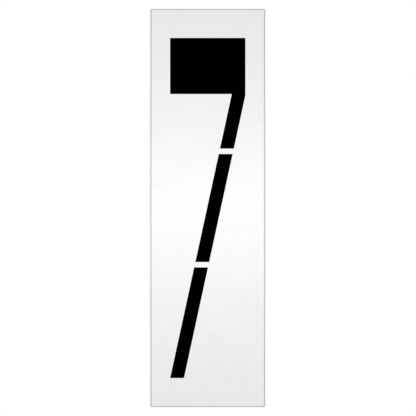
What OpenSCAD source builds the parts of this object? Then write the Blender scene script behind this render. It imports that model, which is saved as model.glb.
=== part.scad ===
// Road marking stencil: one flat plastic sheet with a tall numeral 7 cut right through it.
// The sheet lies on the road with +Z up. The origin is at the centre of its underside,
// +Y runs towards the top of the numeral and +X towards its right side.

/* [Numeral] */
// Height of the numeral, along the road
numeral_h = 1829; // [1500:1:2500]
// Width of the numeral, across the road
numeral_w = 405; // [320:1:520]
// Height of the bar across the numeral's top
bar_h = 302; // [200:1:400]
// Width of the slanted leg, measured across the road
leg_w = 75; // [50:1:110]
// Drop from the underside of the bar to the knee in the numeral's right side
knee_drop = 7; // [0:1:60]

/* [Sheet] */
// Thickness of the sheet
sheet_t = 3.2; // [1.5:0.1:6.5]
// Plain sheet to the left and right of the numeral
side_margin = 102.5; // [60:0.5:200]
// Plain sheet above and below the numeral
end_margin = 152.5; // [80:0.5:300]

/* [Bridges] */
// Number of bridges that tie the sheet together across the leg
bridge_count = 2; // [1:1:3]
// Length of sheet left standing at each bridge, along the road
bridge_h = 28.5; // [15:0.5:60]

/* [Cutting] */
// Radius that the router bit leaves in the inner corners of each window
bit_r = 1.6; // [0.8:0.1:6.4]

/* [Hidden] */

// Outer size of the sheet
sheet_w = numeral_w + 2 * side_margin;
sheet_l = numeral_h + 2 * end_margin;

// Heights above the foot of the numeral
bar_y = numeral_h - bar_h;
knee_y = bar_y - knee_drop;
bridge_pitch = numeral_h / (bridge_count + 1);

// Sideways travel of the leg for each unit of height
leg_slant = (numeral_w - leg_w) / knee_y;

// How far each cut runs past both faces of the sheet
overrun = 1;

// Angles, in degrees, with one step along a routed corner
arc_step = 15;
quarter_turn = 90;
half_turn = 180;

// Left edge of the leg at a height above the foot
function leg_x(y) = leg_slant * y;

// Lower and upper ends of a window in the leg, counted from the foot
function window_low(i) = i == 0 ? 0 : i * bridge_pitch + bridge_h / 2;
function window_high(i) = (i + 1) * bridge_pitch - bridge_h / 2;

// Corners of a window that holds a length of the leg alone, anticlockwise
function leg_window(low, high) = [
    [leg_x(low), low],
    [leg_x(low) + leg_w, low],
    [leg_x(high) + leg_w, high],
    [leg_x(high), high]
];

// Corners of the window that holds the bar and the leg below it, anticlockwise
function bar_window(low) = [
    [leg_x(low), low],
    [leg_x(low) + leg_w, low],
    [numeral_w, knee_y],
    [numeral_w, numeral_h],
    [0, numeral_h],
    [0, bar_y],
    [leg_x(bar_y), bar_y]
];

function window_corners(i) = i == bridge_count
    ? bar_window(window_low(i))
    : leg_window(window_low(i), window_high(i));

function unit(v) = v / norm(v);

// Direction of a vector, in degrees
function bearing(v) = atan2(v.y, v.x);

// Turn to the left at a corner, from the corners before and after it
function turn_at(before, corner, after) =
    let (inside = acos(unit(before - corner) * unit(after - corner)))
    cross(corner - before, after - corner) > 0 ? half_turn - inside : inside - half_turn;

// Centre of the bit as it rounds a corner
function bit_centre(before, corner, after) =
    corner + unit(unit(before - corner) + unit(after - corner)) * bit_r
        / cos(turn_at(before, corner, after) / 2);

// Arc that the bit leaves at a corner, which stays sharp where the window turns outwards
function routed_corner(before, corner, after) =
    let (
        turn = turn_at(before, corner, after),
        centre = bit_centre(before, corner, after),
        start = bearing(corner - before) - quarter_turn,
        steps = ceil(turn / arc_step)
    )
    turn < 0
        ? [corner]
        : [for (k = [0:steps])
            let (angle = start + turn * k / steps)
            centre + bit_r * [cos(angle), sin(angle)]];

// Outline of a window as the bit leaves it
module routed_window(corners) {
    count = len(corners);
    polygon([for (i = [0:count - 1])
        each routed_corner(
            corners[(i + count - 1) % count], corners[i], corners[(i + 1) % count])]);
}

// The sheet, with the numeral cut out as a row of windows between its bridges
module stencil_sheet() {
    color("whitesmoke")
        difference() {
            translate([-sheet_w / 2, -sheet_l / 2, 0])
                cube([sheet_w, sheet_l, sheet_t]);
            translate([-numeral_w / 2, -numeral_h / 2, -overrun])
                linear_extrude(sheet_t + 2 * overrun)
                    for (i = [0:bridge_count])
                        routed_window(window_corners(i));
        }
}

stencil_sheet();
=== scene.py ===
# Road marking stencil: one long sheet of white polyethylene with a tall numeral 7 routed through it,
# lying flat and looked at from straight above.
import math
from itertools import accumulate

import bmesh
import bpy
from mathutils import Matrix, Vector
from mathutils.geometry import delaunay_2d_cdt


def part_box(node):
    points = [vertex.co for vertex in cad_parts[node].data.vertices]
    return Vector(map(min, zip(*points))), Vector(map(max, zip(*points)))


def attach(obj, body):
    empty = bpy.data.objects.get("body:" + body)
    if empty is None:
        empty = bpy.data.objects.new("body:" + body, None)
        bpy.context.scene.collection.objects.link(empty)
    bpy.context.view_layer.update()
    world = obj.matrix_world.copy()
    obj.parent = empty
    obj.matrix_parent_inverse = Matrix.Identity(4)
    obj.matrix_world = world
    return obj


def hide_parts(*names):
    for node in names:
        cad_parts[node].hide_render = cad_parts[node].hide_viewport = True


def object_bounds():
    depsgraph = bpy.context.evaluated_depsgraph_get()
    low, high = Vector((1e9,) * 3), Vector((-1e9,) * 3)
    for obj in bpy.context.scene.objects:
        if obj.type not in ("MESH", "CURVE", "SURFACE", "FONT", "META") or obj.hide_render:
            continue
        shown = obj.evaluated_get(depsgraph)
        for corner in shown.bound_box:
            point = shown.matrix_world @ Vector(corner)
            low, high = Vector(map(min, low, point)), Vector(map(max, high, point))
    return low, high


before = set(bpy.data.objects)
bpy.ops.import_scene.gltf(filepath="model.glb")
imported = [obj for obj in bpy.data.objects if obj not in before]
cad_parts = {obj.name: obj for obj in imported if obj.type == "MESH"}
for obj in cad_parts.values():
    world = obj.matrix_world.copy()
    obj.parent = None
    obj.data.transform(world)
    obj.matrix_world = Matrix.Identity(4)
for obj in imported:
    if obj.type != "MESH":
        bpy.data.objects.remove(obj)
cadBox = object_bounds()            # the CAD model's own box
print("frame loaded")

mm = 0.001
scene = bpy.context.scene
scene.view_settings.view_transform = "Standard"

# Sockets of a Mix node that mixes colours
mixShare = 0
mixFrom = 6
mixTo = 7
mixResult = 2


def linear(hexColour):
    # "#RRGGBB" as sRGB, turned into the linear colour that a shader takes
    channels = [int(hexColour[i:i + 2], 16) / 255 for i in (1, 3, 5)]
    return [c / 12.92 if c <= 0.04045 else ((c + 0.055) / 1.055) ** 2.4 for c in channels] + [1.0]


def addNode(tree, kind, values=None, **settings):
    # adds one node; a value that is another node's output becomes a link
    node = tree.nodes.new(kind)
    for name, setting in settings.items():
        setattr(node, name, setting)
    for socket, value in (values or {}).items():
        if isinstance(value, bpy.types.NodeSocket):
            tree.links.new(value, node.inputs[socket])
        else:
            node.inputs[socket].default_value = value
    return node


def newMaterial(name):
    # a material whose node tree is still empty
    material = bpy.data.materials.new(name)
    material.use_nodes = True
    material.node_tree.nodes.clear()
    return material, material.node_tree


def newObject(name, data):
    item = bpy.data.objects.new(name, data)
    scene.collection.objects.link(item)
    return item


# Extruded LDPE sheet, satin from the chill rolls: milky white with a soft, wide sheen, faint lines along
# the way it was drawn and a few hairline scuffs. Beside a routed cut the strained plastic has turned a
# little whiter, in streaks along the cut. The outer rim is painted grey: partly grime where hands hold it,
# partly painted shade that darkens the sheet's outer edge.
sheetFinish = {
    "paleTone": "#F7F7F8",
    "deepTone": "#F1F1F2",
    "toneSpread": (0.4, 1.3),       # where the patterns together are all deep and all pale
    "cloudSize": 140 * mm,          # slow change of tone across the sheet
    "lineSpacing": 22 * mm,         # die lines are under 1 mm apart, drawn coarser so that they show
    "lineLength": 1400 * mm,
    "mottleSize": 13 * mm,          # roll grain is about 0.5 mm, drawn coarser so that it shows
    "grainSize": 2.5 * mm,          # the same grain as relief, coarser too, for a near view
    "grainDepth": 0.05 * mm,
    "grainStrength": 0.5,
    "ior": 1.51,
    "roughness": (0.40, 0.50),
    "strainedTone": "#FCFCFD",
    "strainSpread": (0.7, 1.45),    # where the whitening beside a cut begins and where it is whole
    # grey of the outer rim: painted shade along the sheet's edge, together with handling grime
    "rimGrimeAndShadeTone": "#82848A",
    "rimGreySpread": (0.7, 1.3),       # how unevenly the painted rim shade and the handling grime grey the rim
    "streakLength": 25 * mm,
    "streakWidth": 1.5 * mm,
    "scuffTone": "#DCDDE1",
    "scuffs": ((0.3, 130 * mm), (-0.5, 70 * mm), (1.8, 100 * mm)),     # turn and length
    "scuffWidth": 1.2 * mm,         # hairlines are about 0.2 mm, drawn coarser so that they show
    "scuffSpread": (0.72, 0.80),    # only the peaks of the noise are scuffs, so they stay few and short
    "patchSize": 210 * mm,          # scuffs come in patches of about this size
    "patchSpread": (0.45, 0.6),
    "scuffDepth": 0.6,              # how much of its tone a scuff takes at the middle of a patch
    "scuffDulling": 0.16,
}


def rolledTone(tree, look, place):
    # the plain tone, in clouds, along the die lines and with the roll grain; gives the lines back as well
    cloud = addNode(tree, "ShaderNodeTexNoise",
                    {"Vector": place, "Scale": 1 / look["cloudSize"], "Detail": 2.0})
    drawn = addNode(tree, "ShaderNodeMapping",
                    {"Vector": place, "Scale": (1 / look["lineSpacing"], 1 / look["lineLength"], 1.0)})
    lines = addNode(tree, "ShaderNodeTexNoise",
                    {"Vector": drawn.outputs["Vector"], "Scale": 1.0, "Detail": 3.0})
    mottle = addNode(tree, "ShaderNodeTexNoise",
                     {"Vector": place, "Scale": 1 / look["mottleSize"], "Detail": 1.0})
    slow = addNode(tree, "ShaderNodeMath",
                   {0: cloud.outputs["Fac"], 1: lines.outputs["Fac"]}, operation="MULTIPLY")
    together = addNode(tree, "ShaderNodeMath",
                       {0: slow.outputs[0], 1: mottle.outputs["Fac"]}, operation="ADD")
    deep, pale = look["toneSpread"]
    share = addNode(tree, "ShaderNodeMapRange",
                    {"Value": together.outputs[0], "From Min": deep, "From Max": pale})
    tone = addNode(tree, "ShaderNodeMix",
                   {mixShare: share.outputs[0], mixFrom: linear(look["deepTone"]),
                    mixTo: linear(look["paleTone"])}, data_type="RGBA")
    return tone.outputs[mixResult], lines.outputs["Fac"]


def cutMarks(tree, look, tone):
    # the tone with what the cuts and hands have left on it, and the painted shade along the outer rim, in
    # streaks along each cut
    path = addNode(tree, "ShaderNodeUVMap", uv_map="cutPath").outputs["UV"]
    along = addNode(tree, "ShaderNodeMapping",
                    {"Vector": path, "Scale": (1 / look["streakLength"], 1 / look["streakWidth"], 1.0)})
    streaks = addNode(tree, "ShaderNodeTexNoise",
                      {"Vector": along.outputs["Vector"], "Scale": 1.0, "Detail": 3.0}).outputs["Fac"]
    strain = addNode(tree, "ShaderNodeAttribute", attribute_name="strained").outputs["Fac"]
    broken = addNode(tree, "ShaderNodeMath", {0: strain, 1: streaks}, operation="ADD")
    begins, whole = look["strainSpread"]
    strained = addNode(tree, "ShaderNodeMapRange",
                       {"Value": broken.outputs[0], "From Min": begins, "From Max": whole})
    whitened = addNode(tree, "ShaderNodeMix",
                       {mixShare: strained.outputs[0], mixFrom: tone,
                        mixTo: linear(look["strainedTone"])}, data_type="RGBA")
    least, most = look["rimGreySpread"]
    rimGreyUnevenness = addNode(tree, "ShaderNodeMapRange", {"Value": streaks, "To Min": least, "To Max": most})
    # the outer rim's grey: handling grime and painted edge shade
    rimGreyMark = addNode(tree, "ShaderNodeAttribute", attribute_name="handledAndShaded").outputs["Fac"]
    handledAndShaded = addNode(tree, "ShaderNodeMath",
                      {0: rimGreyMark, 1: rimGreyUnevenness.outputs[0]}, operation="MULTIPLY", use_clamp=True)
    greyed = addNode(tree, "ShaderNodeMix",
                     {mixShare: handledAndShaded.outputs[0], mixFrom: whitened.outputs[mixResult],
                      mixTo: linear(look["rimGrimeAndShadeTone"])}, data_type="RGBA")
    return greyed.outputs[mixResult]


def hairlineScuffs(tree, look, place):
    # how much each spot is scuffed: short fine streaks at a few slants, in patches
    patch = addNode(tree, "ShaderNodeTexNoise",
                    {"Vector": place, "Scale": 1 / look["patchSize"], "Detail": 1.0})
    rim, heart = look["patchSpread"]
    inPatch = addNode(tree, "ShaderNodeMapRange",
                      {"Value": patch.outputs["Fac"], "From Min": rim, "From Max": heart})
    faint, full = look["scuffSpread"]
    scuffed = 0.0
    for turn, length in look["scuffs"]:
        turned = addNode(tree, "ShaderNodeVectorRotate",
                         {"Vector": place, "Angle": turn}, rotation_type="Z_AXIS")
        drawnOut = addNode(tree, "ShaderNodeVectorMath",
                           {0: turned.outputs["Vector"], 1: (1 / length, 1 / look["scuffWidth"], 0.0)},
                           operation="MULTIPLY")
        streak = addNode(tree, "ShaderNodeTexNoise",
                         {"Vector": drawnOut.outputs["Vector"], "Scale": 1.0, "Detail": 0.0})
        hairline = addNode(tree, "ShaderNodeMapRange",
                           {"Value": streak.outputs["Fac"], "From Min": faint, "From Max": full})
        scuffed = addNode(tree, "ShaderNodeMath",
                          {0: hairline.outputs[0], 1: inPatch.outputs[0], 2: scuffed},
                          operation="MULTIPLY_ADD", use_clamp=True).outputs[0]
    return scuffed


def extrudedSheetFinish(look):
    material, tree = newMaterial("LDPE sheet, extruded satin")
    place = addNode(tree, "ShaderNodeTexCoord").outputs["Object"]
    plain, lines = rolledTone(tree, look, place)
    marked = cutMarks(tree, look, plain)
    scuffed = hairlineScuffs(tree, look, place)
    share = addNode(tree, "ShaderNodeMath", {0: scuffed, 1: look["scuffDepth"]}, operation="MULTIPLY")
    colour = addNode(tree, "ShaderNodeMix",
                     {mixShare: share.outputs[0], mixFrom: marked,
                      mixTo: linear(look["scuffTone"])}, data_type="RGBA")
    smooth, rough = look["roughness"]
    satin = addNode(tree, "ShaderNodeMapRange", {"Value": lines, "To Min": smooth, "To Max": rough})
    dulled = addNode(tree, "ShaderNodeMath",
                     {0: scuffed, 1: look["scuffDulling"], 2: satin.outputs[0]}, operation="MULTIPLY_ADD")
    grain = addNode(tree, "ShaderNodeTexNoise",
                    {"Vector": place, "Scale": 1 / look["grainSize"], "Detail": 2.0})
    bump = addNode(tree, "ShaderNodeBump",
                   {"Height": grain.outputs["Fac"], "Distance": look["grainDepth"],
                    "Strength": look["grainStrength"]})
    surface = addNode(tree, "ShaderNodeBsdfPrincipled",
                      {"Base Color": colour.outputs[mixResult], "Roughness": dulled.outputs[0],
                       "Normal": bump.outputs["Normal"], "IOR": look["ior"]})
    addNode(tree, "ShaderNodeOutputMaterial", {"Surface": surface.outputs[0]})
    return material


# Routed LDPE edge: the bit tears the plastic a little, so the cut wall is duller than the faces and carries
# upright chatter marks, as pale as the faces on their ridges, with painted shade greying their grooves.
edgeFinish = {
    "ridge": "#F4F5F6",
    "grooveShade": "#E6E7EA",
    "ior": 1.51,
    "roughness": 0.62,
    "chatter": 3 * mm,              # feed marks are about 0.4 mm apart, drawn coarser so that they show
    "chatterWander": 1.5,
    "chatterDepth": 0.08 * mm,
    "chatterStrength": 0.6,
}


def routedEdgeFinish(look):
    material, tree = newMaterial("LDPE edge, routed")
    path = addNode(tree, "ShaderNodeUVMap", uv_map="cutPath").outputs["UV"]
    waveRepeat = math.pi / 10       # how far apart the bands of a Wave texture are at scale 1
    marks = addNode(tree, "ShaderNodeTexWave",
                    {"Vector": path, "Scale": waveRepeat / look["chatter"],
                     "Distortion": look["chatterWander"], "Detail": 1.0}, bands_direction="X")
    # chatter marks: pale ridges, and grooves greyed with painted shade
    colour = addNode(tree, "ShaderNodeMix",
                     {mixShare: marks.outputs["Fac"], mixFrom: linear(look["grooveShade"]),
                      mixTo: linear(look["ridge"])}, data_type="RGBA")
    bump = addNode(tree, "ShaderNodeBump",
                   {"Height": marks.outputs["Fac"], "Distance": look["chatterDepth"],
                    "Strength": look["chatterStrength"]})
    surface = addNode(tree, "ShaderNodeBsdfPrincipled",
                      {"Base Color": colour.outputs[mixResult], "Roughness": look["roughness"],
                       "Normal": bump.outputs["Normal"], "IOR": look["ior"]})
    addNode(tree, "ShaderNodeOutputMaterial", {"Surface": surface.outputs[0]})
    return material


# Guillotined LDPE edge: the blade polishes the top of the cut and the rest breaks off dull. The wall's grey
# is painted shade, for how the milky plastic looks greyer seen along the sheet than its faces, and it is
# painted darker towards the underside.
trimFinish = {
    "upperWallShadeTone": "#C6C8CC",
    "lowerWallShadeTone": "#A4A6AB",
    "ior": 1.51,
    "roughness": (0.66, 0.34),      # at the underside and at the top
    "lineSpacing": 4 * mm,          # a blade's nicks leave finer lines, drawn coarser so that they show
    "lineDepth": 0.04 * mm,
    "lineStrength": 0.6,
    "raggedness": 0.8,              # how unevenly the polish, and the wall's painted shade with it, gives way to the break
}


def guillotinedEdgeFinish(look, thickness):
    material, tree = newMaterial("LDPE edge, guillotined")
    place = addNode(tree, "ShaderNodeTexCoord").outputs["Object"]
    height = addNode(tree, "ShaderNodeSeparateXYZ", {"Vector": place}).outputs["Z"]
    path = addNode(tree, "ShaderNodeUVMap", uv_map="cutPath").outputs["UV"]
    lines = addNode(tree, "ShaderNodeMapping",
                    {"Vector": path, "Scale": (1 / look["lineSpacing"], 1.0, 1.0)})
    nicks = addNode(tree, "ShaderNodeTexNoise",
                    {"Vector": lines.outputs["Vector"], "Scale": 1.0, "Detail": 2.0}).outputs["Fac"]
    share = addNode(tree, "ShaderNodeMapRange",
                    {"Value": height, "From Max": thickness}, interpolation_type="SMOOTHSTEP")
    ragged = addNode(tree, "ShaderNodeMapRange",
                     {"Value": nicks, "To Min": -look["raggedness"], "To Max": look["raggedness"]})
    polishAndShade = addNode(tree, "ShaderNodeMath",
                     {0: share.outputs[0], 1: ragged.outputs[0]}, operation="ADD", use_clamp=True)
    # the wall's colour: painted shade, greyer towards the underside
    colour = addNode(tree, "ShaderNodeMix",
                     {mixShare: polishAndShade.outputs[0], mixFrom: linear(look["lowerWallShadeTone"]),
                      mixTo: linear(look["upperWallShadeTone"])}, data_type="RGBA")
    dull, polished = look["roughness"]
    shine = addNode(tree, "ShaderNodeMapRange",
                    {"Value": polishAndShade.outputs[0], "To Min": dull, "To Max": polished})
    bump = addNode(tree, "ShaderNodeBump",
                   {"Height": nicks, "Distance": look["lineDepth"], "Strength": look["lineStrength"]})
    surface = addNode(tree, "ShaderNodeBsdfPrincipled",
                      {"Base Color": colour.outputs[mixResult], "Roughness": shine.outputs[0],
                       "Normal": bump.outputs["Normal"], "IOR": look["ior"]})
    addNode(tree, "ShaderNodeOutputMaterial", {"Surface": surface.outputs[0]})
    return material


# The sheet: each outline of the CAD solid is swept with the small edge that its cut leaves, and both
# faces are filled between them. The bands are rows of faces beside a cut: how deep each begins, and how
# much of that cut's mark it has there.
sheetShape = {
    "routed": {
        "mark": "strained",
        "radius": 0.4 * mm,
        "bands": ((5 * mm, 0.0), (2.2 * mm, 0.6), (0.6 * mm, 1.0)),
        "slot": 1,                  # place of its finish in the mesh's list
    },
    "guillotined": {
        "mark": "handledAndShaded",
        "radius": 0.6 * mm,
        "bands": ((3 * mm, 0.0), (1.8 * mm, 0.6), (0.8 * mm, 1.0)),
        "slot": 2,
    },
    "faceSlot": 0,
    "edgeSteps": 4,
    "wallRows": 4,
    "longestEdge": 40 * mm,
    "clearShare": 0.45,             # of the longest edge, that spare points keep from a cut
    "weld": 0.001 * mm,             # points nearer than this are one
    "upright": 0.5,                 # normals rise more than this on the top face, and less on the walls
    "bendLimit": 0.1,               # triangles that bend or skew by more than these angles aren't joined
    "skewLimit": 0.7,
}


def sidesOf(outline):
    # each point of a closed outline with the next one
    return zip(outline, outline[1:] + outline[:1])


def isOuter(outline):
    # the plastic is on the left, so only the sheet's own outline runs anticlockwise
    return sum(start.cross(end) for start, end in sidesOf(outline)) > 0


def topOutlines(cadNode, look):
    # outlines of the top face, the sheet's own first, each a list of points with the plastic on its left
    bm = bmesh.new()
    bm.from_mesh(cadNode.data)
    bmesh.ops.remove_doubles(bm, verts=bm.verts, dist=look["weld"])
    following = {}
    for face in bm.faces:
        for corner in face.loops:
            beyond = corner.link_loop_radial_next.face
            if face.normal.z > look["upright"] > beyond.normal.z:
                following[corner.vert] = corner.link_loop_next.vert
    outlines = []
    while following:
        start = min(following, key=lambda vert: vert.co.x + vert.co.y)      # its lower left point
        outline = [start.co.xy]
        vert = following.pop(start)
        while vert is not start:
            outline.append(vert.co.xy)
            vert = following.pop(vert)
        outlines.append(outline)
    bm.free()
    return outlines


def splitLong(outline, longest):
    points = []
    for start, end in sidesOf(outline):
        steps = math.ceil((end - start).length / longest)
        points += [start.lerp(end, k / steps) for k in range(steps)]
    return points


def waysIn(outline):
    # for each point the way into the plastic, long enough to keep both its edges parallel
    ways = []
    for before, point, after in zip(outline[-1:] + outline[:-1], outline, outline[1:] + outline[:1]):
        arriving = (point - before).normalized()
        leaving = (after - point).normalized()
        leftIn = Vector((-arriving.y, arriving.x))
        leftOut = Vector((-leaving.y, leaving.x))
        ways.append((leftIn + leftOut) / (1 + leftIn.dot(leftOut)))
    return ways


def edgeProfile(look, cut, thickness):
    # (depth into the plastic, height, share of the mark) from the top face over the edge to the underside
    radius = cut["radius"]
    upper = [(depth, thickness, share) for depth, share in cut["bands"]]
    for step in range(look["edgeSteps"] + 1):
        turn = math.pi / 2 * step / look["edgeSteps"]
        upper.append((radius * (1 - math.sin(turn)), thickness - radius * (1 - math.cos(turn)), 1.0))
    rows = look["wallRows"]
    wall = [(0.0, radius + (thickness - 2 * radius) * (1 - row / rows), 1.0) for row in range(1, rows)]
    lower = [(depth, thickness - height, share) for depth, height, share in reversed(upper)]
    return upper + wall + lower


def sweepEdge(bm, outline, look, low, thickness):
    # one closed cut: rows of points along the outline, joined into faces; gives back its end rows
    cut = look["guillotined"] if isOuter(outline) else look["routed"]
    profile = edgeProfile(look, cut, thickness)
    mark = bm.verts.layers.float[cut["mark"]]
    points = splitLong(outline, look["longestEdge"])
    ways = waysIn(points)
    rows = []
    for depth, height, share in profile:
        row = [bm.verts.new((*(point + way * depth), low + height)) for point, way in zip(points, ways)]
        for vert in row:
            vert[mark] = share
        rows.append(row)

    uv = bm.loops.layers.uv["cutPath"]
    strides = [(end - start).length for start, end in sidesOf(points)]
    travel = list(accumulate(strides, initial=0.0))
    steps = [math.dist(start[:2], end[:2]) for start, end in zip(profile, profile[1:])]
    across = list(accumulate(steps, initial=0.0))
    count = len(points)
    levels = len(rows) - 1
    bands = len(cut["bands"])
    for level in range(levels):
        onFace = level < bands or level >= levels - bands
        for i in range(count):
            j = (i + 1) % count
            face = bm.faces.new((rows[level][i], rows[level + 1][i], rows[level + 1][j], rows[level][j]))
            face.material_index = look["faceSlot"] if onFace else cut["slot"]
            corners = ((i, level), (i, level + 1), (i + 1, level + 1), (i + 1, level))
            for corner, (along, row) in zip(face.loops, corners):
                corner[uv].uv = (travel[along], across[row])
    return rows[0], rows[-1]


def gapTo(spot, start, end):
    # how far a spot is from the straight line between two points
    run = end - start
    share = min(max((spot - start).dot(run) / run.length_squared, 0.0), 1.0)
    return (start + run * share - spot).length


def planFace(rings, look, low, high):
    # the plastic between the rings as even triangles, with spare points on a lattice that lines up with
    # the sheet's own edge; gives the spare points, and the triangles as places in rings and spare points
    points = []
    loops = []
    for ring in rings:
        loops.append(list(range(len(points), len(points) + len(ring))))
        points += ring
    onRings = len(points)
    sides = [side for ring in rings for side in sidesOf(ring)]
    size = high - low
    columns = math.ceil(size.x / look["longestEdge"])
    rows = math.ceil(size.y / look["longestEdge"])
    clear = look["longestEdge"] * look["clearShare"]
    for column in range(1, columns):
        for row in range(1, rows):
            spot = Vector((low.x + size.x * column / columns, low.y + size.y * row / rows))
            if all(gapTo(spot, start, end) > clear for start, end in sides):
                points.append(spot)
    leaveHoles = 2                  # the kind of result that leaves the windows open
    _, _, triangles, origins, _, _ = delaunay_2d_cdt(points, [], loops, leaveHoles, look["weld"])
    return points[onRings:], [[origins[corner][0] for corner in triangle] for triangle in triangles]


def fillFace(bm, rings, plan, look):
    # one face of the sheet between its rings, joined into quads where that keeps them square
    spare, triangles = plan
    verts = [vert for ring in rings for vert in ring]
    height = verts[0].co.z
    onRings = len(verts)
    used = {corner for triangle in triangles for corner in triangle}
    for i, spot in enumerate(spare):
        verts.append(bm.verts.new((*spot, height)) if onRings + i in used else None)
    faces = [bm.faces.new([verts[corner] for corner in triangle]) for triangle in triangles]
    bm.normal_update()
    bmesh.ops.join_triangles(bm, faces=faces, angle_face_threshold=look["bendLimit"],
                             angle_shape_threshold=look["skewLimit"])


def buildSheet(cadNode, look):
    low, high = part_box("stencil_sheet")
    thickness = high.z - low.z
    bm = bmesh.new()
    bm.verts.layers.float.new("strained")
    bm.verts.layers.float.new("handledAndShaded")
    bm.loops.layers.uv.new("cutPath")
    ends = [sweepEdge(bm, outline, look, low.z, thickness) for outline in topOutlines(cadNode, look)]
    plan = planFace([[vert.co.xy for vert in top] for top, _ in ends], look, low, high)
    for rings in zip(*ends):
        fillFace(bm, rings, plan, look)
    bmesh.ops.recalc_face_normals(bm, faces=bm.faces)
    mesh = bpy.data.meshes.new("routedSheet")
    bm.to_mesh(mesh)
    bm.free()
    mesh.shade_smooth()
    mesh.materials.append(extrudedSheetFinish(sheetFinish))
    mesh.materials.append(routedEdgeFinish(edgeFinish))
    mesh.materials.append(guillotinedEdgeFinish(trimFinish, thickness))
    return newObject("routed_sheet", mesh)


sheet = buildSheet(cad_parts["stencil_sheet"], sheetShape)
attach(sheet, "root")
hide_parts("stencil_sheet")
print("sheet built:", len(sheet.data.polygons), "faces")


# Stage: a white floor, and a sheet of black flocked card under the stencil that shows through its windows
stageLook = {
    "floorHalf": 15.0,
    "floorDrop": 1.0 * mm,          # the card's thickness, so the stencil lies on the card
    "cardDrop": 0.1 * mm,
    "cardInset": 15 * mm,
    "floorTone": "#F4F4F4",
    "cardTone": "#010101",
    "shadeReach": 7 * mm,           # how far the soft shadow beside the sheet reaches
    "shadeDepth": 2.0,
    "shadeSamples": 16,
}


def plainRectangle(name, low, high, height):
    mesh = bpy.data.meshes.new(name)
    corners = [(low[0], low[1], height), (high[0], low[1], height),
               (high[0], high[1], height), (low[0], high[1], height)]
    mesh.from_pydata(corners, [], [(0, 1, 2, 3)])
    return newObject(name, mesh)


def seenDirectly(tree):
    # 1 for rays that show the stage itself to the camera, in a reflection or through something clear
    path = addNode(tree, "ShaderNodeLightPath")
    mirrored = addNode(tree, "ShaderNodeMath",
                       {0: path.outputs["Is Camera Ray"], 1: path.outputs["Is Glossy Ray"]},
                       operation="MAXIMUM")
    return addNode(tree, "ShaderNodeMath",
                   {0: mirrored.outputs[0], 1: path.outputs["Is Transmission Ray"]},
                   operation="MAXIMUM").outputs[0]


def whiteFloorFinish(look):
    material, tree = newMaterial("White studio floor")
    near = addNode(tree, "ShaderNodeAmbientOcclusion",
                   {"Distance": look["shadeReach"]}, samples=look["shadeSamples"])
    shade = addNode(tree, "ShaderNodeMath",
                    {0: near.outputs["AO"], 1: look["shadeDepth"]}, operation="POWER")
    white = addNode(tree, "ShaderNodeEmission", {"Color": shade.outputs[0], "Strength": 1.0})
    pale = addNode(tree, "ShaderNodeBsdfDiffuse", {"Color": linear(look["floorTone"])})
    surface = addNode(tree, "ShaderNodeMixShader",
                      {0: seenDirectly(tree), 1: pale.outputs[0], 2: white.outputs[0]})
    addNode(tree, "ShaderNodeOutputMaterial", {"Surface": surface.outputs[0]})
    return material


def flockedCardFinish(look):
    material, tree = newMaterial("Black flocked card")
    surface = addNode(tree, "ShaderNodeBsdfDiffuse", {"Color": linear(look["cardTone"])})
    addNode(tree, "ShaderNodeOutputMaterial", {"Surface": surface.outputs[0]})
    return material


def buildStage(look):
    half = look["floorHalf"]
    low, high = cadBox
    floor = plainRectangle("floor", (-half, -half), (half, half), low.z - look["floorDrop"])
    floor.data.materials.append(whiteFloorFinish(look))
    inset = Vector((look["cardInset"], look["cardInset"]))
    card = plainRectangle("backing_card", low.xy + inset, high.xy - inset, low.z - look["cardDrop"])
    card.data.materials.append(flockedCardFinish(look))


buildStage(stageLook)
print("stage set")


# Light: an even dome, and one long soft strip across the middle whose light falls off towards both ends
lightLook = {
    "domeTone": "#FDFDFF",
    "domeStrength": 0.84,
    "backdropTone": "#FFFFFF",      # what the camera and reflections see of the dome
    "stripTone": "#FFFDF3",
    "stripWatts": 4.9,
    "stripHeight": 0.95,
    "stripSize": (3.0, 0.25),
}


def buildLight(look):
    world = bpy.data.worlds.new("Studio")
    scene.world = world
    world.use_nodes = True
    tree = world.node_tree
    tree.nodes.clear()
    dome = addNode(tree, "ShaderNodeBackground",
                   {"Color": linear(look["domeTone"]), "Strength": look["domeStrength"]})
    white = addNode(tree, "ShaderNodeBackground",
                    {"Color": linear(look["backdropTone"]), "Strength": 1.0})
    surface = addNode(tree, "ShaderNodeMixShader",
                      {0: seenDirectly(tree), 1: dome.outputs[0], 2: white.outputs[0]})
    addNode(tree, "ShaderNodeOutputWorld", {"Surface": surface.outputs[0]})

    strip = bpy.data.lights.new("strip", "AREA")
    strip.shape = "RECTANGLE"
    strip.size, strip.size_y = look["stripSize"]
    strip.energy = look["stripWatts"]
    strip.color = linear(look["stripTone"])[:3]
    lamp = newObject("strip", strip)
    lamp.location.z = look["stripHeight"]
    lamp.visible_camera = False


buildLight(lightLook)
print("lights set")


# Camera: square on from above, framed so that the sheet's edges fall where the photograph has them
photoFrame = {
    "size": 416,                    # all but the last two are pixels of the photograph
    "left": 151.1,
    "right": 264.4,
    "top": 9.5,
    "bottom": 406.5,
    "lens": 100.0,
    "reach": 100.0,
}


def buildCamera(look):
    low, high = cadBox
    perPixel = (high.y - low.y) / (look["bottom"] - look["top"])
    camera = bpy.data.cameras.new("camera")
    camera.lens = look["lens"]
    camera.clip_end = look["reach"]
    middle = look["size"] / 2
    eye = newObject("camera", camera)
    eye.location = (
        (low.x + high.x) / 2 + (middle - (look["left"] + look["right"]) / 2) * perPixel,
        (low.y + high.y) / 2 + ((look["top"] + look["bottom"]) / 2 - middle) * perPixel,
        high.z + look["size"] * perPixel * camera.lens / camera.sensor_width,
    )
    scene.camera = eye


buildCamera(photoFrame)
print("camera set")
